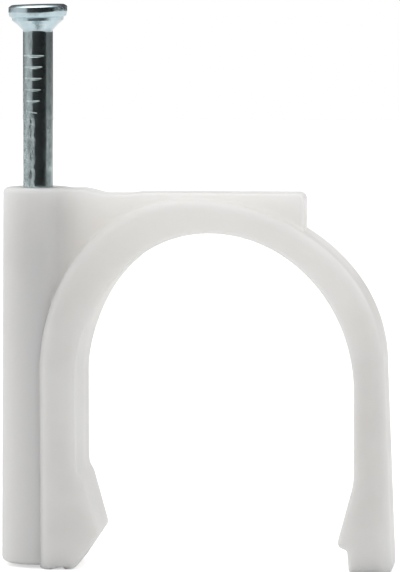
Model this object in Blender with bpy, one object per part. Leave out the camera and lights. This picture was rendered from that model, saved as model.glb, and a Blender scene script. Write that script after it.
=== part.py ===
"""Nail-in cable clip: a moulded plastic saddle for a 25 mm cable, with its steel nail standing in the boss.

Metres, +Z up. The clip stands on its two feet at z = 0, the cable runs along Y, the boss and nail are
at -X and the free leg is at +X. The origin lies under the middle of the whole clip.
"""
import math

import bmesh
import bpy
import numpy as np

# Channel for the cable, measured from the nail's axis
CHANNEL_LEFT = 0.0042
CHANNEL_WIDTH = 0.0246
CHANNEL_HEIGHT = 0.0304
CROWN_SHIFT = 0.0007
FIXED_SPRING = 0.0173
FREE_SPRING = 0.0162

# Band that makes the two legs and the arch
BAND_DEPTH = 0.0080
FIXED_LEG = 0.0038
FREE_LEG = 0.0027
CROWN_THICKNESS = 0.0030
OUTER_CROWN_SHIFT = 0.0020
OUTER_FIXED_SPRING = 0.0176
OUTER_FREE_SPRING = 0.0184
FREE_LEG_SPLAY = 0.0007
OUTER_ROUND = 0.0008
INNER_ROUND = 0.0005
LIP_ROUND = 0.0003

# Snap lip on the fixed leg: a long ramp to its tip and a slanted lead-in down to the foot
FIXED_LIP_REACH = 0.0017
FIXED_LIP_TIP = 0.0034
FIXED_LIP_TOP = 0.0093
FIXED_LEAD_IN = 0.0023
FIXED_TIP_CORNER = 0.0003
FIXED_FOOT_CORNER = 0.0006

# Snap lip on the free leg: a long ramp to a rounded nose with a short step under it
FREE_LIP_REACH = 0.00155
FREE_LIP_TIP = 0.0024
FREE_LIP_TOP = 0.0081
FREE_NOSE_CORNER = 0.0005
FREE_STEP_REACH = 0.0006
FREE_STEP_HEIGHT = 0.0020
FREE_FOOT_REACH = 0.0004
LIP_TOP_CORNER = 0.0008

# Boss that holds the nail
BOSS_TOP_RADIUS = 0.00316
BOSS_FOOT_RADIUS = 0.00345
BOSS_PROUD = 0.0004
BOSS_FOOT_LIFT = 0.0003
BOSS_ROUND = 0.0005

# Flat web between the boss and the arch
WEB_THICKNESS = 0.0040
WEB_REACH = 0.00775
WEB_PROUD = 0.0005
WEB_SHOULDER = 0.0041
WEB_SHOULDER_RISE = 0.0003
WEB_DIP = 0.00015
WEB_DIP_START = 0.0065
WEB_DIP_LENGTH = 0.0016
WEB_LEVEL_START = 0.0098
WEB_CORNER = 0.00065
WEB_ROUND = 0.0003
VALLEY_FILLET = 0.0018
WEB_FILLET = 0.0005

# Nail
NAIL_DIAMETER = 0.0027
NAIL_LENGTH = 0.0450
NAIL_STAND = 0.0165
HEAD_DIAMETER = 0.0053
HEAD_RIM = 0.0013
HEAD_TOP_ROUND = 0.0004
HEAD_UNDER_ROUND = 0.0003
HEAD_STEP = 0.0002
CREASE_HEIGHT = 0.0001
CONE_HEIGHT = 0.00085
CONE_FOOT_STEP = 0.0001
NECK_FILLET = 0.0003
POINT_LENGTH = 0.0034
NAIL_CLEARANCE = 0.0002

# Smoothness of the curves
ARCH_STEPS = 26
ROUND_STEPS = 3
TURN_STEPS = 48
POINT_RINGS = 8

CHANNEL_RIGHT = CHANNEL_LEFT + CHANNEL_WIDTH
CHANNEL_MIDDLE = CHANNEL_LEFT + CHANNEL_WIDTH / 2
CROWN_X = CHANNEL_MIDDLE - CROWN_SHIFT
CROWN_HEIGHT = CHANNEL_HEIGHT + CROWN_THICKNESS
WEB_HEIGHT = CROWN_HEIGHT + WEB_PROUD
WEB_END = CHANNEL_MIDDLE + WEB_REACH
BOSS_HEIGHT = WEB_HEIGHT + BOSS_PROUD
FREE_FOOT_X = CHANNEL_RIGHT + FREE_LEG + FREE_LEG_SPLAY
NAIL_X = -(FREE_FOOT_X - BOSS_FOOT_RADIUS) / 2
NAIL_TOP = BOSS_HEIGHT + NAIL_STAND
NAIL_RADIUS = NAIL_DIAMETER / 2
BORE_RADIUS = NAIL_RADIUS + NAIL_CLEARANCE
OVERLAP = 0.0006


def clear_scene():
    """Remove whatever the scene holds."""
    for item in list(bpy.data.objects):
        bpy.data.objects.remove(item, do_unlink=True)


def make_material(name, color, roughness, metallic):
    """A plain Principled surface."""
    material = bpy.data.materials.new(name)
    material.use_nodes = True
    surface = material.node_tree.nodes["Principled BSDF"]
    surface.inputs["Base Color"].default_value = (*color, 1.0)
    surface.inputs["Roughness"].default_value = roughness
    surface.inputs["Metallic"].default_value = metallic
    return material


def solid_from_loops(name, loops, first_cap, last_cap):
    """Close a stack of equal loops into one solid; a cap is a flat face or a single tip point."""
    mesh = bmesh.new()
    rows = [[mesh.verts.new(point) for point in loop] for loop in loops]
    for lower, upper in zip(rows, rows[1:]):
        for i in range(len(lower)):
            j = (i + 1) % len(lower)
            mesh.faces.new((lower[i], lower[j], upper[j], upper[i]))
    for row, cap in ((rows[0], first_cap), (rows[-1], last_cap)):
        if cap is None:
            mesh.faces.new(row)
            continue
        tip = mesh.verts.new(cap)
        for i in range(len(row)):
            mesh.faces.new((row[i], row[(i + 1) % len(row)], tip))
    bmesh.ops.recalc_face_normals(mesh, faces=mesh.faces)
    data = bpy.data.meshes.new(name)
    mesh.to_mesh(data)
    mesh.free()
    data.shade_smooth()
    data.set_sharp_from_angle(angle=math.radians(32))
    body = bpy.data.objects.new(name, data)
    bpy.context.scene.collection.objects.link(body)
    return body


def combine(body, other, operation):
    """Join another solid to a body, or cut it away, and keep the other as a hidden guide."""
    other.hide_render = True
    other.display_type = "WIRE"
    step = body.modifiers.new(other.name, "BOOLEAN")
    step.operation = operation
    step.solver = "EXACT"
    step.object = other


def inward_normals(outline):
    """Mitred inward offset of each point of an outline that runs clockwise in X and Z."""
    before = outline - np.roll(outline, 1, axis=0)
    after = np.roll(outline, -1, axis=0) - outline
    before /= np.linalg.norm(before, axis=1)[:, None]
    after /= np.linalg.norm(after, axis=1)[:, None]
    mean = before + after
    mean /= np.linalg.norm(mean, axis=1)[:, None]
    inward = np.stack([mean[:, 1], -mean[:, 0]], axis=1)
    edge = np.stack([after[:, 1], -after[:, 0]], axis=1)
    stretch = 1 / np.maximum((inward * edge).sum(axis=1), 0.6)
    return inward * stretch[:, None]


def level_with_foot(outline, inward):
    """Keep a foot's corners on the floor: they move along it, as far off the wall as the rest of the wall."""
    grounded = outline[:, 1] == 0
    for i in np.flatnonzero(grounded):
        j = (i + 1) % len(outline) if grounded[i - 1] else i - 1
        wall = outline[j] - outline[i]
        across = np.array([wall[1], -wall[0]]) / np.linalg.norm(wall)
        side = np.sign(across[0] * inward[i, 0])
        inward[i] = (side / across[0], 0.0)
    return inward


def plain_prism(name, outline, depth):
    """Carry an X-Z outline straight through the depth."""
    loops = [[(x + NAIL_X, side * depth / 2, z) for x, z in outline] for side in (-1, 1)]
    return solid_from_loops(name, loops, None, None)


def rounded_prism(name, outline, rounds, depth):
    """Carry an X-Z outline through the depth, with its front and back edges rounded point by point."""
    outline = np.array(outline)
    rounds = np.array(rounds)
    inward = level_with_foot(outline, inward_normals(outline))
    turns = np.linspace(0, math.pi / 2, ROUND_STEPS + 1)
    loops = []
    for side, angles in ((-1, turns), (1, turns[::-1])):
        for angle in angles:
            moved = outline + inward * (rounds * (1 - math.sin(angle)))[:, None]
            y = side * (depth / 2 - rounds * (1 - math.cos(angle)))
            loops.append(np.stack([moved[:, 0] + NAIL_X, y, moved[:, 1]], axis=1))
    return solid_from_loops(name, loops, None, None)


def turned(name, profile):
    """Turn a radius-height profile, listed from its foot to its top, about the nail's axis."""
    angles = np.linspace(0, 2 * math.pi, TURN_STEPS, endpoint=False)
    loops = [[(NAIL_X + r * math.cos(a), r * math.sin(a), z) for a in angles] for r, z in profile]
    return solid_from_loops(name, loops, None, None)


def arc(center, radius, start, end, steps):
    """Points of a circular arc in the plane, from one angle to another in degrees."""
    angles = np.radians(np.linspace(start, end, steps + 1))
    return [(center[0] + radius * math.cos(a), center[1] + radius * math.sin(a)) for a in angles]


def arch(crown, left, right, left_spring, right_spring):
    """Two quarter ellipses that meet at the crown, from the fixed leg's side to the free leg's."""
    angles = np.linspace(0, math.pi / 2, ARCH_STEPS + 1)
    crown_x, top = crown
    rise = [(crown_x - (crown_x - left) * math.cos(a), left_spring + (top - left_spring) * math.sin(a))
            for a in angles]
    fall = [(crown_x + (right - crown_x) * math.cos(a), right_spring + (top - right_spring) * math.sin(a))
            for a in angles[::-1]]
    return rise + fall[1:]


def inner_arch(sunk=0.0):
    """Roof of the channel, or the same curve sunk that far into the band's wall."""
    return arch((CROWN_X, CHANNEL_HEIGHT + sunk), CHANNEL_LEFT - sunk, CHANNEL_RIGHT + sunk,
                FIXED_SPRING, FREE_SPRING)


def outer_arch():
    """Outer edge of the arch, from the fixed leg over the crown to the free leg."""
    return arch((CROWN_X - OUTER_CROWN_SHIFT, CROWN_HEIGHT), CHANNEL_LEFT - FIXED_LEG,
                CHANNEL_RIGHT + FREE_LEG, OUTER_FIXED_SPRING, OUTER_FREE_SPRING)


def rounded_corner(before, corner, after, cut):
    """Arc inside a corner, touching both of its sides at the same distance from it."""
    corner = np.array(corner)
    first = np.array(before) - corner
    second = np.array(after) - corner
    first /= np.linalg.norm(first)
    second /= np.linalg.norm(second)
    middle = (first + second) / np.linalg.norm(first + second)
    center = corner + middle * cut / (middle @ first)
    start = corner + first * cut - center
    end = corner + second * cut - center
    sweep = math.acos((start @ end) / (start @ start))
    turns = np.linspace(0, sweep, ROUND_STEPS + 1)
    return [tuple(center + (start * math.sin(sweep - t) + end * math.sin(t)) / math.sin(sweep))
            for t in turns]


def fixed_lip():
    """Inner edge of the fixed leg, from its foot up the lead-in, over the tip and up the ramp."""
    tip = (CHANNEL_LEFT + FIXED_LIP_REACH, FIXED_LIP_TIP)
    foot = (tip[0] - FIXED_LEAD_IN, 0.0)
    top = (CHANNEL_LEFT, FIXED_LIP_TOP)
    wall = (CHANNEL_LEFT, FIXED_SPRING)
    sole = (CHANNEL_LEFT - FIXED_LEG, 0.0)
    return (rounded_corner(sole, foot, tip, FIXED_FOOT_CORNER)
            + rounded_corner(foot, tip, top, FIXED_TIP_CORNER)
            + rounded_corner(tip, top, wall, LIP_TOP_CORNER))


def free_lip():
    """Inner edge of the free leg, from the plain wall down the ramp, round the nose to the foot."""
    wall = (CHANNEL_RIGHT, FREE_SPRING)
    top = (CHANNEL_RIGHT, FREE_LIP_TOP)
    nose = (CHANNEL_RIGHT - FREE_LIP_REACH, FREE_LIP_TIP)
    step = (CHANNEL_RIGHT - FREE_STEP_REACH, FREE_STEP_HEIGHT)
    foot = (CHANNEL_RIGHT - FREE_FOOT_REACH, 0.0)
    return (rounded_corner(wall, top, nose, LIP_TOP_CORNER)
            + rounded_corner(top, nose, step, FREE_NOSE_CORNER)
            + [step, foot])


def make_band():
    """The two legs and the arch, one band with in-turned lips."""
    outside = [(CHANNEL_LEFT - FIXED_LEG, 0.0)] + outer_arch() + [(FREE_FOOT_X, 0.0)]
    free_side = free_lip()[::-1]
    fixed_side = fixed_lip()[::-1]
    plain = ROUND_STEPS + 1
    stretches = [(outside, OUTER_ROUND), (free_side[:-plain], LIP_ROUND),
                 (free_side[-plain:] + inner_arch()[::-1] + fixed_side[:plain], INNER_ROUND),
                 (fixed_side[plain:], LIP_ROUND)]
    outline = [point for points, _ in stretches for point in points]
    rounds = [size for points, size in stretches for _ in points]
    return rounded_prism("clip_body", outline, rounds, BAND_DEPTH)


def make_boss():
    """Tapered round post for the nail, its rim and foot rounded."""
    top = BOSS_HEIGHT
    r = BOSS_ROUND
    foot = arc((BOSS_FOOT_RADIUS - r, BOSS_FOOT_LIFT + r), r, -90, 0, ROUND_STEPS)
    rim = arc((BOSS_TOP_RADIUS - r, top - r), r, 0, 90, ROUND_STEPS)
    return turned("boss", foot + rim)


def make_web():
    """Flat plate from the boss along the top of the arch to a square end with one rounded corner."""
    top = WEB_HEIGHT
    corner = arc((WEB_END - WEB_CORNER, top - WEB_CORNER), WEB_CORNER, 90, 0, 2 * ROUND_STEPS)
    upper = [(0.0, top + WEB_SHOULDER_RISE), (WEB_SHOULDER, top + WEB_SHOULDER_RISE),
             (WEB_DIP_START, top - WEB_DIP), (WEB_DIP_START + WEB_DIP_LENGTH, top - WEB_DIP),
             (WEB_LEVEL_START, top)]
    outline = upper + corner + [(WEB_END, FREE_SPRING), (0.0, FREE_SPRING)]
    web = rounded_prism("web", outline, [WEB_ROUND] * len(outline), WEB_THICKNESS)
    sunk = inner_arch(CROWN_THICKNESS / 2)
    floor = FREE_SPRING - OVERLAP
    relief = [(sunk[0][0], floor)] + sunk + [(sunk[-1][0], floor)]
    combine(web, plain_prism("web_relief", relief, WEB_THICKNESS + OVERLAP), "DIFFERENCE")
    return web


def fillet_section(radius, steps):
    """Concave corner fill: distances off the wall and off the floor, closed behind the corner."""
    hollow = [(radius - radius * math.cos(a), radius - radius * math.sin(a))
              for a in np.linspace(0, math.pi / 2, steps + 1)]
    return [(-OVERLAP / 2, -OVERLAP / 2), (-OVERLAP / 2, radius)] + hollow + [(radius, -OVERLAP / 2)]


def make_web_fillet(name, side):
    """Fillet along the corner between the arch's outer face and one face of the web."""
    path = np.array(outer_arch())
    tangent = np.gradient(path, axis=0)
    tangent /= np.linalg.norm(tangent, axis=1)[:, None]
    normal = np.stack([-tangent[:, 1], tangent[:, 0]], axis=1)
    keep = (path[:, 0] < WEB_END - WEB_ROUND) & (path[:, 1] > OUTER_FIXED_SPRING)
    loops = []
    for point, away in zip(path[keep], normal[keep]):
        loop = []
        for off_ring, off_web in fillet_section(WEB_FILLET, ROUND_STEPS):
            flat = point + away * off_ring
            loop.append((flat[0] + NAIL_X, side * (WEB_THICKNESS / 2 + off_web), flat[1]))
        loops.append(loop)
    return solid_from_loops(name, loops, None, None)


def make_valley_fillet(name, side):
    """Upright fillet in the valley between the round boss and one face of the web."""
    radius = VALLEY_FILLET
    rise = WEB_THICKNESS / 2 + radius
    reach = math.sqrt((BOSS_TOP_RADIUS + radius) ** 2 - rise ** 2)
    start = math.degrees(math.atan2(-rise, -reach)) % 360
    hollow = arc((reach, rise), radius, start, 270, 2 * ROUND_STEPS)
    section = hollow + [(reach, WEB_THICKNESS / 2 - OVERLAP), (0.0, WEB_THICKNESS / 2 - OVERLAP)]
    heights = (OUTER_FIXED_SPRING / 2, WEB_HEIGHT - WEB_DIP - WEB_ROUND)
    loops = [[(x + NAIL_X, side * y, z) for x, y in section] for z in heights]
    return solid_from_loops(name, loops, None, None)


def make_bore():
    """Hole right through the boss for the nail."""
    reach = BOSS_HEIGHT + OVERLAP
    return turned("bore", [(BORE_RADIUS, -OVERLAP), (BORE_RADIUS, reach)])


def make_clip():
    """The one moulding: band, boss, web and their fillets joined, then bored for the nail."""
    body = make_band()
    combine(body, make_boss(), "UNION")
    combine(body, make_web(), "UNION")
    for side, word in ((-1, "front"), (1, "back")):
        combine(body, make_web_fillet("arch_fillet_" + word, side), "UNION")
        combine(body, make_valley_fillet("valley_fillet_" + word, side), "UNION")
    combine(body, make_bore(), "DIFFERENCE")
    body.data.materials.append(make_material("white_plastic", (0.83, 0.83, 0.82), 0.42, 0.0))
    return body


def nail_point():
    """Four-sided diamond point: each ring is the shank's circle cut back to a square pyramid."""
    tip_z = NAIL_TOP - NAIL_LENGTH
    slope = NAIL_RADIUS / POINT_LENGTH
    angles = np.linspace(0, 2 * math.pi, TURN_STEPS, endpoint=False)
    square = 1 / np.maximum(np.abs(np.cos(angles)), np.abs(np.sin(angles)))
    loops = []
    for share in np.linspace(0, 1, POINT_RINGS + 1)[1:]:
        radii = np.minimum(NAIL_RADIUS, share * POINT_LENGTH * slope * square)
        loops.append([(NAIL_X + r * math.cos(a), r * math.sin(a), tip_z + share * POINT_LENGTH)
                      for r, a in zip(radii, angles)])
    return loops, (NAIL_X, 0.0, tip_z)


def make_nail():
    """Wire nail with a rimmed, coned head, driven part of the way into the boss."""
    loops, tip = nail_point()
    head = HEAD_DIAMETER / 2
    under = HEAD_UNDER_ROUND
    rim_foot = NAIL_TOP - HEAD_RIM
    crease = head - under - HEAD_STEP
    cone_top = rim_foot - CREASE_HEIGHT
    neck = cone_top - CONE_HEIGHT
    profile = [(NAIL_RADIUS, neck - NECK_FILLET), (NAIL_RADIUS + CONE_FOOT_STEP, neck),
               (crease, cone_top), (crease, rim_foot)]
    profile += arc((head - under, rim_foot + under), under, -90, 0, ROUND_STEPS)
    top = HEAD_TOP_ROUND
    profile += arc((head - top, NAIL_TOP - top), top, 0, 90, ROUND_STEPS)
    angles = np.linspace(0, 2 * math.pi, TURN_STEPS, endpoint=False)
    loops += [[(NAIL_X + r * math.cos(a), r * math.sin(a), z) for a in angles] for r, z in profile]
    body = solid_from_loops("nail", [np.array(loop) for loop in loops], tip, None)
    body.data.materials.append(make_material("zinc_plated_steel", (0.56, 0.60, 0.64), 0.3, 1.0))
    return body


clear_scene()
make_clip()
make_nail()
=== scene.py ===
"""Nail-in cable clip: one off-white moulding that spans the cable, and the zinc plated nail that holds it."""

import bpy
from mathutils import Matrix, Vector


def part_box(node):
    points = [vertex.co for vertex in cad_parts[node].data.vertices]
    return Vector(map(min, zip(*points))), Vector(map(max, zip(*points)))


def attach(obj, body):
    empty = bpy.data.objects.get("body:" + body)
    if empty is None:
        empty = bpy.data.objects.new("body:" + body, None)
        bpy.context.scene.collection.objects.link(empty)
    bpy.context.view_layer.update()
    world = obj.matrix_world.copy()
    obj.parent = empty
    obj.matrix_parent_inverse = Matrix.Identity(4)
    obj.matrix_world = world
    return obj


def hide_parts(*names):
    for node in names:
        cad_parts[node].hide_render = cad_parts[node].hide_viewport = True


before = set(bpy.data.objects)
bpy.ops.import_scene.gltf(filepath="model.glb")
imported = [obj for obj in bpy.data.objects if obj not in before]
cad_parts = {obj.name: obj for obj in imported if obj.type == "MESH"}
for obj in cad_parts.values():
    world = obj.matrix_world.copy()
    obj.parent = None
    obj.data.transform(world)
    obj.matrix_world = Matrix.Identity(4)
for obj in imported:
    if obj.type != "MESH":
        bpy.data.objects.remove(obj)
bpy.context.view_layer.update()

import math

import bmesh
import bpy
import numpy as np
from mathutils import Matrix, Vector

# The clip: one injection moulding in off-white plastic. Two legs and an arch are one springy band with
# in-turned lips that snap over the cable, a round boss at one side holds the nail, and a flat web ties
# the boss to the arch. All sizes are in metres, across from the nail's axis and up from the feet.
CHANNEL_LEFT = 0.00428
CHANNEL_RIGHT = 0.0288
CHANNEL_TOP = 0.0304
CROWN = 0.0158
FIXED_SPRING = 0.0173
FREE_SPRING = 0.0162
BAND_DEPTH = 0.0080
WALL_LEFT = 0.0004
WALL_RIGHT = 0.0315
WALL_TOP = 0.0334
WALL_CROWN = 0.0138
WALL_FIXED_SPRING = 0.0176
WALL_FREE_SPRING = 0.0184
FREE_SPLAY = 0.0007
OUTER_ROUND = 0.0010
INNER_ROUND = 0.0004
INNER_BEVEL = 0.0005
BEVEL_SLOPE = 3.4
BEVEL_FOOT = (0.0079, 0.0093)
BEVEL_HEAD = (0.0185, 0.0235)
LIP_ROUND = 0.0003
LIP_EASE = 0.001
LIP_TOP_CUT = 0.0008
FIXED_FOOT_CUT = 0.0006
FIXED_TIP_CUT = 0.0003
FREE_NOSE_CUT = 0.0005
FREE_STEP_CUT = 0.0002
FOOT_ROUND = 0.00025
FACE_SINK = 0.00003
PARTING_RISE = 0.00002
PARTING_WIDTH = 0.00009
PLASTIC_DARK = (0.815, 0.803, 0.792, 1)
PLASTIC_LIGHT = (0.855, 0.850, 0.843, 1)
CROWN_WARM = (0.865, 0.835, 0.795, 1)
WARMTH = 0.6
TONE_SPAN = (0.35, 0.65)
CLOUD_SPAN = (0.3, 0.7)
PLASTIC_ROUGH = (0.36, 0.48)
SCATTER_COLOR = (1.0, 0.97, 0.93)
LEG_SCATTER = 0.0016
WEB_SCATTER = 0.0095
CLEAR_UP = (0.0190, 0.0305)
CLEAR_ACROSS = (-0.0002, 0.0065)
# Painted shade on the boss: the darker colour it is mixed towards, and the spans where that shade fades out.
BOSS_PAINTED_SHADE = (0.748, 0.743, 0.743, 1)
SHADE_BEHIND = (0.0035, 0.0039)
SHADE_RIGHT = (0.0006, 0.0024)
SHADE_LEFT = (-0.0024, 0.0)
SHADE_LEAST = 0.45
SHADE_UP = (0.0285, 0.0325)
BOSS_TOP_RADIUS = 0.00316
BOSS_FOOT_RADIUS = 0.00345
BOSS_TOP = 0.0343
BOSS_FOOT = 0.0003
BOSS_ROUND = 0.0005
BOSS_STEP = 0.002
BORE_RADIUS = 0.00155
BORE_PAST = 0.001
WEB_THICKNESS = 0.0040
WEB_TOP = 0.0339
SHOULDER_RISE = 0.0003
SHOULDER_FALL = 0.00045
SHOULDER_ACROSS = (0.0041, 0.0065)
DIP_RISE = 0.00015
DIP_ACROSS = (0.0081, 0.0098)
WEB_START = 0.0015
WEB_FINE_END = 0.0038
WEB_END = 0.02425
WEB_CORNER = 0.00065
WEB_ROUND = 0.0003
WEB_ROOT = 0.0004
ARCH_FILLET = 0.0005
FILLET_MOST = 0.9
VALLEY_FILLET = 0.0036
SEAM_OVERLAP = 0.00002
ARCH_ROWS = 80
LEG_ROWS = 70
ROUND_ROWS = 6
TURN_COLUMNS = 120
FACE_STEPS = 7
WEB_FINE_COLUMNS = 34
WEB_COLUMNS = 86
WEB_ROWS = 12
CORNER_SWEEP = 84
CORNER_COLUMNS = 9
LEAST_ROW = 0.00002
LEAST_COLUMN = 0.000004
SPRING_GAP = 0.0003
CLIP_SHARP = math.radians(35)

nail_low, nail_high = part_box("nail")
NAIL_X = (nail_low[0] + nail_high[0]) / 2


def add_piece(name, grid):
    """Mesh of quads on a grid of points whose rows are closed rings, with a flat face over both ends."""
    rows, columns = grid.shape[:2]
    index = np.arange(rows * columns).reshape(rows, columns)
    index = np.concatenate([index, index[:, :1]], axis=1)
    quads = np.stack([index[:-1, :-1], index[:-1, 1:], index[1:, 1:], index[1:, :-1]], axis=-1).reshape(-1, 4)
    faces = quads.tolist() + [index[0, :-1][::-1].tolist(), index[-1, :-1].tolist()]
    mesh = bpy.data.meshes.new(name)
    mesh.from_pydata(grid.reshape(-1, 3).tolist(), [], faces)
    work = bmesh.new()
    work.from_mesh(mesh)
    bmesh.ops.recalc_face_normals(work, faces=work.faces)
    work.to_mesh(mesh)
    work.free()
    piece = bpy.data.objects.new(name, mesh)
    bpy.context.scene.collection.objects.link(piece)
    return piece


def quarter(start, end, rows):
    """Even angles from one to the other, both ends included."""
    return np.radians(np.linspace(start, end, rows + 1))


def corner_arc(before, corner, after, cut, rows=ROUND_ROWS):
    """Arc inside a corner: the circle that touches both sides at one distance from it."""
    before, corner, after = (np.array(point, float) for point in (before, corner, after))
    first = (before - corner) / np.linalg.norm(before - corner)
    second = (after - corner) / np.linalg.norm(after - corner)
    middle = (first + second) / np.linalg.norm(first + second)
    center = corner + middle * cut / (middle @ first)
    start = corner + first * cut - center
    end = corner + second * cut - center
    sweep = math.acos((start @ end) / (start @ start))
    turns = np.linspace(0, sweep, rows + 1)[:, None]
    return center + (start * np.sin(sweep - turns) + end * np.sin(turns)) / math.sin(sweep)


def ellipse_half(crown, top, left, right, left_spring, right_spring):
    """Two quarter ellipses: across by the cosine from each side to the crown, up by the sine from its spring."""
    turn = np.linspace(0, math.pi / 2, ARCH_ROWS + 1)
    rise = np.stack([crown - (crown - left) * np.cos(turn), left_spring + (top - left_spring) * np.sin(turn)], 1)
    fall = np.stack([crown + (right - crown) * np.cos(turn), right_spring + (top - right_spring) * np.sin(turn)], 1)
    return np.concatenate([rise, fall[-2::-1]])


def even_steps(points, most):
    """Extra points on the straight stretches, so that none is longer than the most."""
    pieces = []
    for start, end in zip(points[:-1], points[1:]):
        count = max(1, math.ceil(np.linalg.norm(end - start) / most))
        pieces.append(start + (end - start) * np.linspace(0, 1, count, endpoint=False)[:, None])
    return np.concatenate(pieces + [points[-1:]])


fixed_tip = (CHANNEL_LEFT + 0.00162, 0.0034)
fixed_foot = (fixed_tip[0] - 0.0023, 0.0)
fixed_top = (CHANNEL_LEFT, 0.0093)
fixed_inside = np.concatenate([
    corner_arc((WALL_LEFT, 0), fixed_foot, fixed_tip, FIXED_FOOT_CUT),
    corner_arc(fixed_foot, fixed_tip, fixed_top, FIXED_TIP_CUT),
    corner_arc(fixed_tip, fixed_top, (CHANNEL_LEFT, FIXED_SPRING), LIP_TOP_CUT)])
free_top = (CHANNEL_RIGHT, 0.0081)
free_nose = (CHANNEL_RIGHT - 0.00155, 0.0024)
free_step = (CHANNEL_RIGHT - 0.0006, 0.0020)
free_foot = (CHANNEL_RIGHT - 0.0004, 0.0)
free_inside = np.concatenate([
    corner_arc((CHANNEL_RIGHT, FREE_SPRING), free_top, free_nose, LIP_TOP_CUT),
    corner_arc(free_top, free_nose, free_step, FREE_NOSE_CUT),
    corner_arc(free_nose, free_step, free_foot, FREE_STEP_CUT)])


def leg_levels(inside, spring):
    """Rows of one leg from its foot to just under the spring: the lip's own points, then even steps of wall."""
    levels = np.unique(np.concatenate([
        FOOT_ROUND * (1 - np.sin(quarter(0, 90, ROUND_ROWS))), inside[:, 1],
        np.linspace(FOOT_ROUND, spring - SPRING_GAP, LEG_ROWS)]))
    keep = np.concatenate([[True], np.diff(levels) > LEAST_ROW])
    return levels[keep]


def at_levels(levels, inside, wall):
    """Inner edge of a leg at given heights, straight above its lip."""
    order = np.argsort(inside[:, 1])
    return np.interp(levels, inside[order, 1], inside[order, 0], right=wall)


fixed_levels = leg_levels(fixed_inside, FIXED_SPRING)
free_levels = leg_levels(free_inside, FREE_SPRING)[::-1]
free_bottom = np.array([[free_foot[0], 0.0]])
inner = np.concatenate([
    np.stack([at_levels(fixed_levels, fixed_inside, CHANNEL_LEFT), fixed_levels], 1),
    ellipse_half(CROWN, CHANNEL_TOP, CHANNEL_LEFT, CHANNEL_RIGHT, FIXED_SPRING, FREE_SPRING),
    np.stack([at_levels(free_levels, np.concatenate([free_inside, free_bottom]), CHANNEL_RIGHT), free_levels], 1)])
outer = np.concatenate([
    np.stack([np.full(len(fixed_levels), WALL_LEFT), fixed_levels], 1),
    ellipse_half(WALL_CROWN, WALL_TOP, WALL_LEFT, WALL_RIGHT, WALL_FIXED_SPRING, WALL_FREE_SPRING),
    np.stack([WALL_RIGHT + FREE_SPLAY * (1 - free_levels / WALL_FREE_SPRING), free_levels], 1)])


def eased(x, start, end):
    """Smooth step from 0 at the start to 1 at the end."""
    share = np.clip((x - start) / (end - start), 0, 1)
    return share ** 2 * (3 - 2 * share)


def sideways(curve, side):
    """Unit direction square to a curve at each of its points, into the wall."""
    along = np.gradient(curve, axis=0)
    along /= np.linalg.norm(along, axis=1)[:, None]
    return side * np.stack([along[:, 1], -along[:, 0]], axis=1)


def edge_strip(curve, inward, rounds, bevel, rise):
    """One wall of the band from its front face to its back face: an edge, the wall, an edge. A rounded edge goes
    in from the wall by r(1 - sin a) and back from the face by r(1 - cos a). Where the bevel is 1 it is a straight
    cut instead, BEVEL_SLOPE times as deep as it is wide. A low ridge may stand on the parting line."""
    turn = quarter(0, 90, ROUND_ROWS)
    along = np.linspace(0, 1, ROUND_ROWS + 1)
    cut_in = rounds[:, None] * (1 - np.sin(turn) + bevel[:, None] * (np.sin(turn) - along))
    cut_back = rounds[:, None] * (1 - np.cos(turn) + bevel[:, None] * (BEVEL_SLOPE * along - 1 + np.cos(turn)))
    steps = np.array([0.5, PARTING_WIDTH / BAND_DEPTH * 2])
    front = cut_back - BAND_DEPTH / 2
    middle = -front[:, -1:] * np.concatenate([steps, [0], -steps[::-1]])
    lift = np.array([0, 0, rise, 0, 0])
    offset = np.concatenate([cut_in, np.tile(-lift, (len(curve), 1)), cut_in[:, ::-1]], axis=1)
    y = np.concatenate([front, -middle, -front[:, ::-1]], axis=1)
    flat = curve[:, None, :] + inward[:, None, :] * offset[:, :, None]
    return np.stack([flat[..., 0], y, flat[..., 1]], axis=-1)


def face_between(start, end, sink):
    """Flat face between two edges, hollowed by a hair in its middle as thick plastic sinks when it cools."""
    share = np.linspace(0, 1, FACE_STEPS + 1)[1:-1]
    face = start[:, None, :] + (end - start)[:, None, :] * share[:, None]
    face[..., 1] += sink * 4 * share * (1 - share)
    return face


lip_top = np.where(inner[:, 0] < CROWN, fixed_top[1], free_top[1])
lip_share = np.clip((lip_top - inner[:, 1]) / LIP_EASE, 0, 1)
inner_rounds = INNER_ROUND + (LIP_ROUND - INNER_ROUND) * lip_share
bevel = (inner[:, 0] < CROWN) * eased(inner[:, 1], *BEVEL_FOOT) * (1 - eased(inner[:, 1], *BEVEL_HEAD))
inner_rounds += (INNER_BEVEL - inner_rounds) * bevel
outer_strip = edge_strip(outer, sideways(outer, 1), np.full(len(outer), OUTER_ROUND), 0 * bevel, PARTING_RISE)
inner_strip = edge_strip(inner, sideways(inner, -1), inner_rounds, bevel, 0)[:, ::-1]
band = np.concatenate([
    outer_strip, face_between(outer_strip[:, -1], inner_strip[:, 0], -FACE_SINK),
    inner_strip, face_between(inner_strip[:, -1], outer_strip[:, 0], FACE_SINK)], axis=1)

height = np.minimum(outer[:, 1], FOOT_ROUND)
inset = FOOT_ROUND - np.sqrt(FOOT_ROUND ** 2 - (FOOT_ROUND - height) ** 2)
middle_x = (outer[:, 0] + inner[:, 0])[:, None] / 2
half_width = np.abs(outer[:, 0] - inner[:, 0])[:, None] / 2
band[..., 0] = middle_x + (band[..., 0] - middle_x) * (1 - inset[:, None] / half_width)
band[..., 1] *= 1 - inset[:, None] / (BAND_DEPTH / 2)
band[..., 0] += NAIL_X
band[..., 2] = np.maximum(band[..., 2], 0)
moulding = add_piece("clip_moulding", band)


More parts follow.
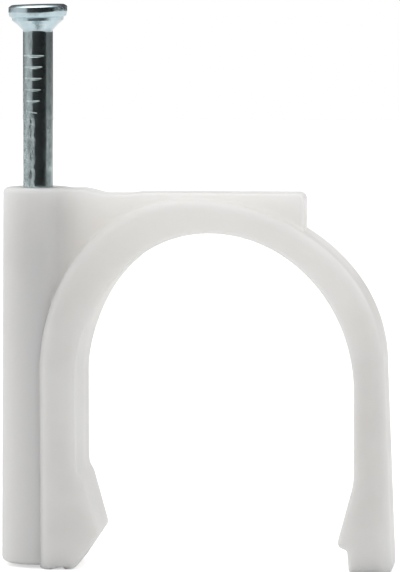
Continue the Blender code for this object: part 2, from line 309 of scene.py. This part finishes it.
def turned(name, profile):
    """Surface of a profile of radius and height turned about the nail's axis."""
    turn = np.linspace(0, 2 * math.pi, TURN_COLUMNS, endpoint=False)
    radius, level = profile[:, 0][:, None], profile[:, 1][:, None]
    grid = np.stack([NAIL_X + radius * np.cos(turn), radius * np.sin(turn), level + 0 * turn], axis=-1)
    return add_piece(name, grid)


def arc_profile(center, radius, start, end):
    """Quarter of a circle as radius and height."""
    turn = quarter(start, end, ROUND_ROWS)
    return np.stack([center[0] + radius * np.cos(turn), center[1] + radius * np.sin(turn)], 1)


boss_profile = np.concatenate([
    arc_profile((BOSS_FOOT_RADIUS - BOSS_ROUND, BOSS_FOOT + BOSS_ROUND), BOSS_ROUND, -90, 0),
    arc_profile((BOSS_TOP_RADIUS - BOSS_ROUND, BOSS_TOP - BOSS_ROUND), BOSS_ROUND, 0, 90)])
boss = turned("boss", even_steps(boss_profile, BOSS_STEP))
bore = turned("bore", np.array([[BORE_RADIUS, -BORE_PAST], [BORE_RADIUS, BOSS_TOP + BORE_PAST]]))


def web_top(x):
    """Height of the web's top: a shoulder at the boss eases down to a shallow dip, then up to the level run,
    and ends in a round corner."""
    past = np.clip(x - (WEB_END - WEB_CORNER), 0, WEB_CORNER)
    corner = WEB_CORNER - np.sqrt(WEB_CORNER ** 2 - past ** 2)
    fall = SHOULDER_FALL * eased(x, *SHOULDER_ACROSS)
    return WEB_TOP + SHOULDER_RISE - fall + DIP_RISE * eased(x, *DIP_ACROSS) - corner


def valley(x, z):
    """How much thicker the web is near the boss: a hollow of one radius that runs into the boss's round wall."""
    boss = BOSS_FOOT_RADIUS + (BOSS_TOP_RADIUS - BOSS_FOOT_RADIUS) * z / BOSS_TOP - SEAM_OVERLAP
    rise = WEB_THICKNESS / 2 + VALLEY_FILLET
    reach = np.sqrt((boss + VALLEY_FILLET) ** 2 - rise ** 2)
    touch = reach * boss / (boss + VALLEY_FILLET)
    hollow = VALLEY_FILLET - np.sqrt(VALLEY_FILLET ** 2 - np.clip(reach - x, 0, reach - touch) ** 2)
    inside = np.sqrt(np.clip(boss ** 2 - x ** 2, 0, None)) - WEB_THICKNESS / 2
    return np.where(x < touch, inside, hollow)


def web_surface():
    """Plate between the arch and the web's top. For each distance across it is a closed ring: top edge rounded,
    face straight down, a hollow quarter round against the arch, then a little way into the arch's wall."""
    end = WEB_END - WEB_CORNER
    x = np.unique(np.concatenate([
        np.linspace(WEB_START, WEB_FINE_END, WEB_FINE_COLUMNS), np.linspace(WEB_FINE_END, end, WEB_COLUMNS),
        end + WEB_CORNER * np.sin(quarter(0, CORNER_SWEEP, CORNER_COLUMNS)),
        WEB_END - WEB_ROUND * (1 - np.cos(quarter(0, 90, ROUND_ROWS)))]))
    x = x[np.concatenate([[True], np.diff(x) > LEAST_COLUMN])][:, None]
    across = (x - WALL_CROWN) / np.where(x < WALL_CROWN, WALL_CROWN - WALL_LEFT, WALL_RIGHT - WALL_CROWN)
    spring = np.where(x < WALL_CROWN, WALL_FIXED_SPRING, WALL_FREE_SPRING)
    arch = spring + (WALL_TOP - spring) * np.sqrt(1 - across ** 2)
    lean = 1 / np.sqrt(1 + np.gradient(arch[:, 0], x[:, 0]) ** 2)[:, None]
    top = web_top(x)
    fillet = np.minimum(ARCH_FILLET, FILLET_MOST * (top - WEB_ROUND - arch) * lean)
    turn = quarter(0, 90, ROUND_ROWS)[None]
    edge_z = top - WEB_ROUND * (1 - np.cos(turn))
    edge_in = WEB_ROUND * (1 - np.sin(turn))
    low = arch + (fillet - SEAM_OVERLAP) / lean
    face_z = edge_z[:, -1:] + (low - edge_z[:, -1:]) * np.linspace(0, 1, WEB_ROWS)[None, 1:-1]
    foot_z = arch + (fillet * (1 - np.sin(turn)) - SEAM_OVERLAP) / lean
    deep_z = foot_z[:, -1:] - WEB_ROOT / lean
    z = np.concatenate([edge_z, face_z, foot_z, deep_z], axis=1)
    foot_out = fillet * (1 - np.cos(turn))
    off = np.concatenate([0 * x - edge_in, 0 * face_z, foot_out, foot_out[:, -1:]], axis=1)
    past = np.clip(WEB_ROUND - (WEB_END - x), 0, WEB_ROUND)
    end_in = WEB_ROUND - np.sqrt(WEB_ROUND ** 2 - past ** 2)
    half = WEB_THICKNESS / 2 + valley(x, z) + off - end_in
    ridge = PARTING_WIDTH / WEB_THICKNESS * 2
    crest = np.array([-0.5, -ridge, 0, ridge, 0.5])
    crest_y = half[:, :1] * crest
    crest_z = top + PARTING_RISE * (crest == 0)
    y = np.concatenate([-half[:, ::-1], crest_y, half], axis=1)
    level = np.concatenate([z[:, ::-1], crest_z, z], axis=1)
    return np.stack([x + NAIL_X + 0 * y, y, level], axis=-1)


web = add_piece("web", web_surface())


def join(body, other, operation):
    """Join a solid to the moulding, or cut it away."""
    step = body.modifiers.new(other.name, "BOOLEAN")
    step.operation = operation
    step.solver = "EXACT"
    step.object = other


guides = [boss, web]
for guide in guides:
    join(moulding, guide, "UNION")
join(moulding, bore, "DIFFERENCE")
finished = bpy.data.meshes.new_from_object(moulding.evaluated_get(bpy.context.evaluated_depsgraph_get()))
moulding.modifiers.clear()
moulding.data = finished
for guide in guides + [bore]:
    bpy.data.objects.remove(guide)
finished.shade_smooth()
finished.set_sharp_from_angle(angle=CLIP_SHARP)
even = moulding.modifiers.new("even_normals", "WEIGHTED_NORMAL")
even.keep_sharp = True


def new_material(name):
    """Material with a plain surface shader; gives the material, its node tree and the shader's inputs."""
    material = bpy.data.materials.new(name)
    material.use_nodes = True
    return material, material.node_tree, material.node_tree.nodes["Principled BSDF"].inputs


def position(tree, stretch=(1, 1, 1)):
    """Place on the piece in its own frame, squeezed by a factor along each direction."""
    place = tree.nodes.new("ShaderNodeTexCoord")
    mapping = tree.nodes.new("ShaderNodeMapping")
    mapping.inputs["Scale"].default_value = stretch
    tree.links.new(place.outputs["Object"], mapping.inputs["Vector"])
    return mapping.outputs["Vector"]


def parts_of(tree, vector):
    """The x, y and z of a vector."""
    split = tree.nodes.new("ShaderNodeSeparateXYZ")
    tree.links.new(vector, split.inputs[0])
    return split.outputs


def graded(tree, source, start, end, low, high, ease="LINEAR"):
    """Value that goes from low to high while the source goes from start to end."""
    step = tree.nodes.new("ShaderNodeMapRange")
    step.interpolation_type = ease
    for name, value in (("From Min", start), ("From Max", end), ("To Min", low), ("To Max", high)):
        step.inputs[name].default_value = value
    tree.links.new(source, step.inputs["Value"])
    return step.outputs[0]


def feed(tree, source, socket):
    """Give an input a number, or link it to another node's output."""
    if isinstance(source, (int, float)):
        socket.default_value = source
    else:
        tree.links.new(source, socket)


def combined(tree, operation, *sources):
    """One value worked out from others, each a number or another node's output."""
    step = tree.nodes.new("ShaderNodeMath")
    step.operation = operation
    for socket, source in zip(step.inputs, sources):
        feed(tree, source, socket)
    return step.outputs[0]


def noise(tree, vector, scale, detail, roughness=0.5):
    """Cloudy pattern over a vector, with as many spots to the metre as the scale."""
    pattern = tree.nodes.new("ShaderNodeTexNoise")
    pattern.inputs["Scale"].default_value = scale
    pattern.inputs["Detail"].default_value = detail
    pattern.inputs["Roughness"].default_value = roughness
    tree.links.new(vector, pattern.inputs["Vector"])
    return pattern.outputs["Fac"]


def toned(tree, source, start, end, dark, light):
    """Colour that goes from dark to light while the source goes from start to end."""
    ramp = tree.nodes.new("ShaderNodeValToRGB")
    for element, level, color in zip(ramp.color_ramp.elements, (start, end), (dark, light)):
        element.position = level
        element.color = color
    tree.links.new(source, ramp.inputs["Fac"])
    return ramp.outputs["Color"]


def tinted(tree, color, tint, amount):
    """Colour mixed towards a tint by an amount."""
    mix = tree.nodes.new("ShaderNodeMix")
    mix.data_type = "RGBA"
    mix.inputs["B"].default_value = tint
    tree.links.new(amount, mix.inputs["Factor"])
    tree.links.new(color, mix.inputs["A"])
    return mix.outputs["Result"]


def bumped(tree, height, distance, strength):
    """Direction square to a surface that a height pattern has roughened."""
    bump = tree.nodes.new("ShaderNodeBump")
    bump.inputs["Distance"].default_value = distance
    feed(tree, strength, bump.inputs["Strength"])
    tree.links.new(height, bump.inputs["Height"])
    return bump.outputs["Normal"]


def plastic():
    """Off-white plastic: light passes a little way in, further in the web and crown, where it cooled fast and set
    clearer and warmer than in the legs. The boss carries painted shade, darkest along its middle and lighter on its
    left side, fading out at its top and towards the web. The tone drifts faintly, and the skin has a fine grain."""
    material, tree, surface = new_material("off_white_plastic")
    place = position(tree)
    x, y, z = parts_of(tree, place)
    clear = combined(tree, "MULTIPLY", graded(tree, z, *CLEAR_UP, 0, 1),
                     graded(tree, x, NAIL_X + CLEAR_ACROSS[0], NAIL_X + CLEAR_ACROSS[1], 0, 1))
    # Painted shade on the boss: full along its middle, less on its left side, gone at its top, into the web and
    # past its faces.
    boss_shade = combined(tree, "MULTIPLY", graded(tree, z, *SHADE_UP, 1, 0),
                     graded(tree, x, NAIL_X + SHADE_RIGHT[0], NAIL_X + SHADE_RIGHT[1], 1, 0))
    boss_shade = combined(tree, "MULTIPLY", boss_shade,
                     graded(tree, x, NAIL_X + SHADE_LEFT[0], NAIL_X + SHADE_LEFT[1], SHADE_LEAST, 1))
    boss_shade = combined(tree, "MULTIPLY", boss_shade, graded(tree, combined(tree, "ABSOLUTE", y), *SHADE_BEHIND, 1, 0))
    surface["Subsurface Weight"].default_value = 1.0
    surface["Subsurface Radius"].default_value = SCATTER_COLOR
    tree.links.new(graded(tree, clear, 0, 1, LEG_SCATTER, WEB_SCATTER), surface["Subsurface Scale"])
    drift = noise(tree, place, scale=180, detail=3)
    tone = toned(tree, drift, *TONE_SPAN, PLASTIC_DARK, PLASTIC_LIGHT)
    warmed = tinted(tree, tone, CROWN_WARM, graded(tree, clear, 0, 1, 0, WARMTH))
    # The boss's painted shade is mixed into the base colour here.
    tree.links.new(tinted(tree, warmed, BOSS_PAINTED_SHADE, boss_shade), surface["Base Color"])
    tree.links.new(graded(tree, drift, *CLOUD_SPAN, *PLASTIC_ROUGH), surface["Roughness"])
    grain = noise(tree, place, scale=2600, detail=2)
    tree.links.new(bumped(tree, grain, distance=0.00005, strength=0.12), surface["Normal"])
    return material


finished.materials.clear()
finished.materials.append(plastic())
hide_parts("clip_body")
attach(moulding, "root")

# The nail: drawn steel wire, zinc plated and bright, with a head struck a little askew and a diamond point.
# The dies that held it for that blow left six short grooves on each side, and drawing left a shallow track
# below them. It stands in the boss's bore as it is sold, not yet hammered home.
SHANK_RADIUS = 0.00135
HEAD_RADIUS = 0.00264
HEAD_SLANT = 0.024
HEAD_DROP = 0.00006
HEAD_EDGE = 0.00022
HEAD_RIM = ((0.0, HEAD_EDGE), (0.00003, HEAD_EDGE - 0.00005), (0.00020, 0.00005),
            (0.00026, 0.00002), (0.00034, 0.0))
HEAD_WALL = 0.00040
HEAD_LEAN = 0.00036
HEAD_TUCK = 0.00007
HEAD_UNDER = 0.00012
HEAD_UNDER_START = -68
STEP_RADIUS = 0.00231
STEP_DROP = 0.00116
STEP_HEIGHT = 0.00026
CONE_BEND = 0.00193
CONE_BEND_DROP = 0.00170
CONE_DROP = 0.00222
CONE_FOOT = ((0.0, 0.00010), (0.00002, 0.00004), (0.00006, 0.0))
HEAD_STEP = 0.00015
SLANT_FROM = 0.0026
SLANT_TO = 0.0012
POINT_LENGTH = 0.0034
NAIL_LEAN = 0.0035
GROOVE_TOP = 0.00464
GROOVE_PITCH = 0.00102
GROOVE_DEPTH = 0.00006
GROOVE_WIDTH = 0.00008
GROOVE_BURR = 0.4
BURR_ABOVE = 1.8
GROOVE_SIDE = math.radians(-104)
GROOVE_REACH = (0.85, 0.74, 0.70, 0.64, 0.56, 0.38)
GROOVE_TILT = (0.0, 0.02, -0.01, 0.0, 0.04, -0.12)
GROOVE_ZONE = 0.0042
TRACK_SIDE = math.radians(-109)
TRACK_WIDTH = math.radians(13)
TRACK_DEPTH = 0.00006
TRACK_END = (0.0106, 0.0096)
TRACK_WAVES = ((0.25, 4300, 0), (0.12, 10900, 1))
POINT_ROWS = 16
SHANK_ROWS = 200
GROOVE_ROWS = 310
NECK_ROWS = 12
NAIL_COLUMNS = 128
NAIL_SHARP = math.radians(28)
ZINC_DARK = (0.32, 0.39, 0.39, 1)
ZINC_LIGHT = (0.60, 0.70, 0.72, 1)
HEAD_BLUE = (0.68, 0.84, 0.91, 1)
BLUE_UP = (0.0480, 0.0487)
BLUE_MOST = 0.7
PITS_UP = (0.0405, 0.0425)
PITS_UP_DEPTH = (1.0, 0.35)
PITS_ACROSS = (-0.0002, 0.0001)
PITS_ACROSS_DEPTH = (0.6, 0.12)
KNOCKED_ASIDE = (0.0018, 0.0023)
KNOCKED_DEPTH = 0.8
ZINC_STRETCH = (1, 1, 0.45)
ZINC_TONE_SPAN = (0.34, 0.66)
ZINC_ROUGH = (0.22, 0.12)


def head_profile(top):
    """Half outline of the head from the shank up: hollow cone, small step, round lower edge, a wall that leans in
    below its middle, slanted rim, flat top. The rim's points lie inwards and down from the head's corner, and the
    cone's foot's points lie outwards from the shank and down from the cone."""
    lean_end = HEAD_EDGE + HEAD_WALL + HEAD_LEAN
    slope = math.degrees(math.atan(HEAD_TUCK / HEAD_LEAN))
    turn = quarter(HEAD_UNDER_START, -slope, ROUND_ROWS)
    lower_x = HEAD_RADIUS - HEAD_TUCK + HEAD_UNDER * (np.cos(turn) - math.cos(turn[-1]))
    lower = np.stack([lower_x, top - lean_end + HEAD_UNDER * (np.sin(turn) - math.sin(turn[-1]))], 1)
    wall = np.array([[HEAD_RADIUS - HEAD_TUCK * 0.05, top - HEAD_EDGE - HEAD_WALL - HEAD_LEAN * 0.1],
                     [HEAD_RADIUS, top - HEAD_EDGE - HEAD_WALL]])
    rim = np.array([[HEAD_RADIUS - inwards, top - down] for inwards, down in HEAD_RIM])
    foot = np.array([[SHANK_RADIUS + outwards, top - CONE_DROP - down] for outwards, down in CONE_FOOT])
    cone = np.array([[CONE_BEND, top - CONE_BEND_DROP],
                     [STEP_RADIUS - 0.00002, top - STEP_DROP - STEP_HEIGHT],
                     [STEP_RADIUS + 0.00001, top - STEP_DROP]])
    middle = np.array([[HEAD_RADIUS * 0.6, top + 0.00002], [HEAD_RADIUS * 0.25, top + 0.00003]])
    return even_steps(np.concatenate([foot, cone, lower, wall, rim, middle]), HEAD_STEP)


def grooves(turn, level, top):
    """Depth cut by the holding dies. Each groove is a narrow bell across its height, with a lower burr above it,
    deepest at the middle of its side and gone at its reach, as a straight edge bites into a round wire; the far
    side has the same grooves."""
    depth = np.zeros(np.broadcast(turn, level).shape)
    for number, (reach, tilt) in enumerate(zip(GROOVE_REACH, GROOVE_TILT)):
        for side in (GROOVE_SIDE, GROOVE_SIDE + math.pi):
            away = np.angle(np.exp(1j * (turn - side)))
            height = top - GROOVE_TOP - number * GROOVE_PITCH + tilt * SHANK_RADIUS * away
            bite = reach / GROOVE_REACH[0] * np.clip(1 - (away / reach) ** 2, 0, 1)
            above = (level - height) / GROOVE_WIDTH
            depth += GROOVE_DEPTH * bite * (np.exp(-above ** 2) - GROOVE_BURR * np.exp(-(above - BURR_ABOVE) ** 2))
    return depth


def track(turn, level, top):
    """Depth of the shallow track that the drawing left along one side: a bell across it, wavering with height by
    two sines, and gone above the lowest groove."""
    across = np.angle(np.exp(1j * (turn - TRACK_SIDE))) / TRACK_WIDTH
    waver = 1 + sum(size * np.sin(level * pace + start) for size, pace, start in TRACK_WAVES)
    return TRACK_DEPTH * waver * np.exp(-across ** 2) * (1 - eased(level, top - TRACK_END[0], top - TRACK_END[1]))


def nail_surface():
    """Rings up the nail: a square point cut from the round wire, the shank with its grooves, and the head.
    The shank leans by a fixed slope, and the head's rings rise to one side by a fixed slant."""
    tip, top = nail_low[2], nail_high[2] - HEAD_DROP
    turn = np.linspace(0, 2 * math.pi, NAIL_COLUMNS, endpoint=False)[None]
    head = head_profile(top)
    low_groove = top - GROOVE_TOP - len(GROOVE_REACH) * GROOVE_PITCH
    level = np.concatenate([
        tip + POINT_LENGTH * np.linspace(0.01, 1, POINT_ROWS),
        np.linspace(tip + POINT_LENGTH, low_groove, SHANK_ROWS)[1:],
        np.linspace(low_groove, top - GROOVE_ZONE, GROOVE_ROWS)[1:],
        np.linspace(top - GROOVE_ZONE, head[0, 1], NECK_ROWS)[1:-1]])[:, None]
    square = 1 / np.maximum(np.abs(np.cos(turn)), np.abs(np.sin(turn)))
    cut = (level - tip) / POINT_LENGTH * SHANK_RADIUS * square
    shank = np.minimum(SHANK_RADIUS - track(turn, level, top), cut) - grooves(turn, level, top)
    radius = np.concatenate([shank, head[:, :1] + 0 * turn])
    height = np.concatenate([level, head[:, 1:]])
    lean = NAIL_LEAN * (height - BOSS_TOP)
    x = radius * np.cos(turn)
    slant = HEAD_SLANT * eased(height, top - SLANT_FROM, top - SLANT_TO)
    return np.stack([x + lean + NAIL_X, radius * np.sin(turn), height + slant * x], axis=-1)


nail = add_piece("zinc_nail", nail_surface())
nail.data.shade_smooth()
nail.data.set_sharp_from_angle(angle=NAIL_SHARP)


def zinc():
    """Bright zinc on steel: grey, bluer on the head, clouded in small patches drawn out along the wire. Its lower
    part is pitted where the wire was drawn, most on one side, and the sides of its head are knocked."""
    material, tree, surface = new_material("bright_zinc")
    x, _, z = parts_of(tree, position(tree))
    along = position(tree, stretch=ZINC_STRETCH)
    surface["Metallic"].default_value = 1.0
    clouds = noise(tree, along, scale=1700, detail=4, roughness=0.6)
    tone = toned(tree, clouds, *ZINC_TONE_SPAN, ZINC_DARK, ZINC_LIGHT)
    tree.links.new(tinted(tree, tone, HEAD_BLUE, graded(tree, z, *BLUE_UP, 0, BLUE_MOST)), surface["Base Color"])
    tree.links.new(graded(tree, clouds, *CLOUD_SPAN, *ZINC_ROUGH), surface["Roughness"])
    pitted = combined(tree, "MULTIPLY", graded(tree, z, *PITS_UP, *PITS_UP_DEPTH),
                      graded(tree, x, NAIL_X + PITS_ACROSS[0], NAIL_X + PITS_ACROSS[1], *PITS_ACROSS_DEPTH))
    aside = combined(tree, "ABSOLUTE", combined(tree, "SUBTRACT", x, NAIL_X))
    knocked = graded(tree, aside, *KNOCKED_ASIDE, 0, KNOCKED_DEPTH)
    pits = noise(tree, along, scale=2600, detail=3)
    depth = combined(tree, "MAXIMUM", pitted, knocked)
    tree.links.new(bumped(tree, pits, distance=0.00008, strength=depth), surface["Normal"])
    return material


nail.data.materials.append(zinc())
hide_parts("nail")
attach(nail, "root")

# Studio: a white board under the clip's feet and a pale tent all round, with a bright soft box above.
# The lens sees plain white behind the clip, and metal sees the tent's dim opening where the lens stands.
BOARD_NEAR = -0.12
BOARD_FAR = 0.80
BOARD_HALF_WIDTH = 0.60
BOARD_COLOR = (0.88, 0.88, 0.87, 1)
BOARD_GLOW = 0.55
SOFT_BOX_AT = (0.03, -0.02, 0.45)
SOFT_BOX_AIM = (0.0, 0.0, 0.03)
SOFT_BOX_SIZE = 0.35
SOFT_BOX_POWER = 0.25
TENT_FRONT = 0.79
TENT_BACK = 2.2
TENT_BACK_FROM = -1.0
TENT_LEFT = 0.86
TENT_RIGHT = 0.62
TENT_LOW = 0.85
TENT_HIGH = 1.05
METAL_LEFT = 0.78
METAL_RIGHT = 0.15
METAL_BEHIND = 0.22
METAL_HIGH = 4.0
METAL_OVERHEAD = (0.5, 0.95)
OPENING_DEPTH = 0.90
OPENING_SIDE = math.radians(18)
OPENING_EDGE = (0.46, 0.64)
OPENING_LOW = (-0.42, -0.20)
OPENING_HIGH = (0.35, 0.55)


def make_board():
    """Flat white sheet, with a glow that only the lens sees, so the clip's soft shadow stays on it."""
    mesh = bpy.data.meshes.new("studio_board")
    corners = [(-BOARD_HALF_WIDTH, BOARD_NEAR, 0), (BOARD_HALF_WIDTH, BOARD_NEAR, 0),
               (BOARD_HALF_WIDTH, BOARD_FAR, 0), (-BOARD_HALF_WIDTH, BOARD_FAR, 0)]
    mesh.from_pydata(corners, [], [(0, 1, 2, 3)])
    board = bpy.data.objects.new("studio_board", mesh)
    bpy.context.scene.collection.objects.link(board)
    material, tree, surface = new_material("white_board")
    surface["Base Color"].default_value = BOARD_COLOR
    surface["Roughness"].default_value = 0.9
    surface["Specular IOR Level"].default_value = 0.1
    surface["Emission Color"].default_value = (1, 1, 1, 1)
    path = tree.nodes.new("ShaderNodeLightPath")
    glow = combined(tree, "MULTIPLY", path.outputs["Is Camera Ray"], BOARD_GLOW)
    tree.links.new(glow, surface["Emission Strength"])
    mesh.materials.append(material)


def chosen(tree, choice, first, second):
    """The first shader where the choice is 0, the second where it is 1."""
    mix = tree.nodes.new("ShaderNodeMixShader")
    for socket, source in zip(mix.inputs, (choice, first, second)):
        tree.links.new(source, socket)
    return mix.outputs[0]


def lit(tree, strength):
    """White light of a strength that varies with direction."""
    light = tree.nodes.new("ShaderNodeBackground")
    tree.links.new(strength, light.inputs["Strength"])
    return light.outputs[0]


def make_tent():
    """World light: white to the lens. For matt surfaces it is brighter behind than in front, above than below and
    on the left than on the right. For metal it is brighter on the left and overhead, and dimmer behind, with a
    dim opening in front where the lens stands."""
    world = bpy.data.worlds.new("light_tent")
    bpy.context.scene.world = world
    world.use_nodes = True
    tree = world.node_tree
    direction = tree.nodes.new("ShaderNodeTexCoord").outputs["Generated"]
    x, y, z = parts_of(tree, direction)

    def product(first, *others):
        """All values multiplied together."""
        for other in others:
            first = combined(tree, "MULTIPLY", first, other)
        return first

    def eased_step(source, start, end, low, high):
        """Smooth step of a direction value."""
        return graded(tree, source, start, end, low, high, ease="SMOOTHSTEP")

    walls = product(eased_step(y, TENT_BACK_FROM, 1, TENT_FRONT, TENT_BACK),
                    eased_step(z, -1, 1, TENT_LOW, TENT_HIGH),
                    eased_step(x, -1, 1, TENT_LEFT, TENT_RIGHT))
    facing = tree.nodes.new("ShaderNodeVectorMath")
    facing.operation = "DOT_PRODUCT"
    facing.inputs[1].default_value = (math.sin(OPENING_SIDE), -math.cos(OPENING_SIDE), 0)
    tree.links.new(direction, facing.inputs[0])
    opening = product(eased_step(facing.outputs["Value"], *OPENING_EDGE, 0, OPENING_DEPTH),
                      eased_step(z, *OPENING_LOW, 0, 1),
                      eased_step(z, *OPENING_HIGH, 1, 0))
    metal = product(combined(tree, "SUBTRACT", 1, opening),
                    eased_step(x, -1, 1, METAL_LEFT, METAL_RIGHT),
                    eased_step(z, *METAL_OVERHEAD, 1, METAL_HIGH),
                    eased_step(y, 0, 1, 1, METAL_BEHIND))
    path = tree.nodes.new("ShaderNodeLightPath")
    around = chosen(tree, path.outputs["Is Glossy Ray"], lit(tree, walls), lit(tree, metal))
    backdrop = tree.nodes["Background"]
    backdrop.inputs["Color"].default_value = (1, 1, 1, 1)
    seen = chosen(tree, path.outputs["Is Camera Ray"], around, backdrop.outputs[0])
    tree.links.new(seen, tree.nodes["World Output"].inputs["Surface"])


def add_soft_box():
    """Square lamp above the clip, turned to its aim."""
    lamp = bpy.data.lights.new("top_soft_box", "AREA")
    lamp.shape = "SQUARE"
    lamp.size = SOFT_BOX_SIZE
    lamp.energy = SOFT_BOX_POWER
    body = bpy.data.objects.new("top_soft_box", lamp)
    body.location = SOFT_BOX_AT
    body.rotation_euler = (Vector(SOFT_BOX_AIM) - Vector(SOFT_BOX_AT)).to_track_quat("-Z", "Y").to_euler()
    bpy.context.scene.collection.objects.link(body)


make_board()
make_tent()
add_soft_box()

# Camera: a long lens a little above the clip and to its right, level with the nail's head.
LENS_AT = Vector((0.04325, -0.430, 0.062))
LENS_AIM = Vector((0.0003, 0.0, 0.0254))
LENS_ROLL = math.radians(-0.12)
VIEW_PIXELS = 4810
FRAME_PIXELS = 400


def make_camera():
    """Camera whose focal length gives VIEW_PIXELS of picture for one radian of view."""
    data = bpy.data.cameras.new("camera")
    data.sensor_fit = "HORIZONTAL"
    data.sensor_width = 36
    data.lens = VIEW_PIXELS / FRAME_PIXELS * data.sensor_width
    data.clip_start = 0.01
    body = bpy.data.objects.new("camera", data)
    turn = (LENS_AIM - LENS_AT).to_track_quat("-Z", "Y").to_matrix().to_4x4()
    body.matrix_world = Matrix.Translation(LENS_AT) @ turn @ Matrix.Rotation(LENS_ROLL, 4, "Z")
    bpy.context.scene.collection.objects.link(body)
    bpy.context.scene.camera = body


make_camera()
bpy.context.scene.view_settings.view_transform = "Standard"
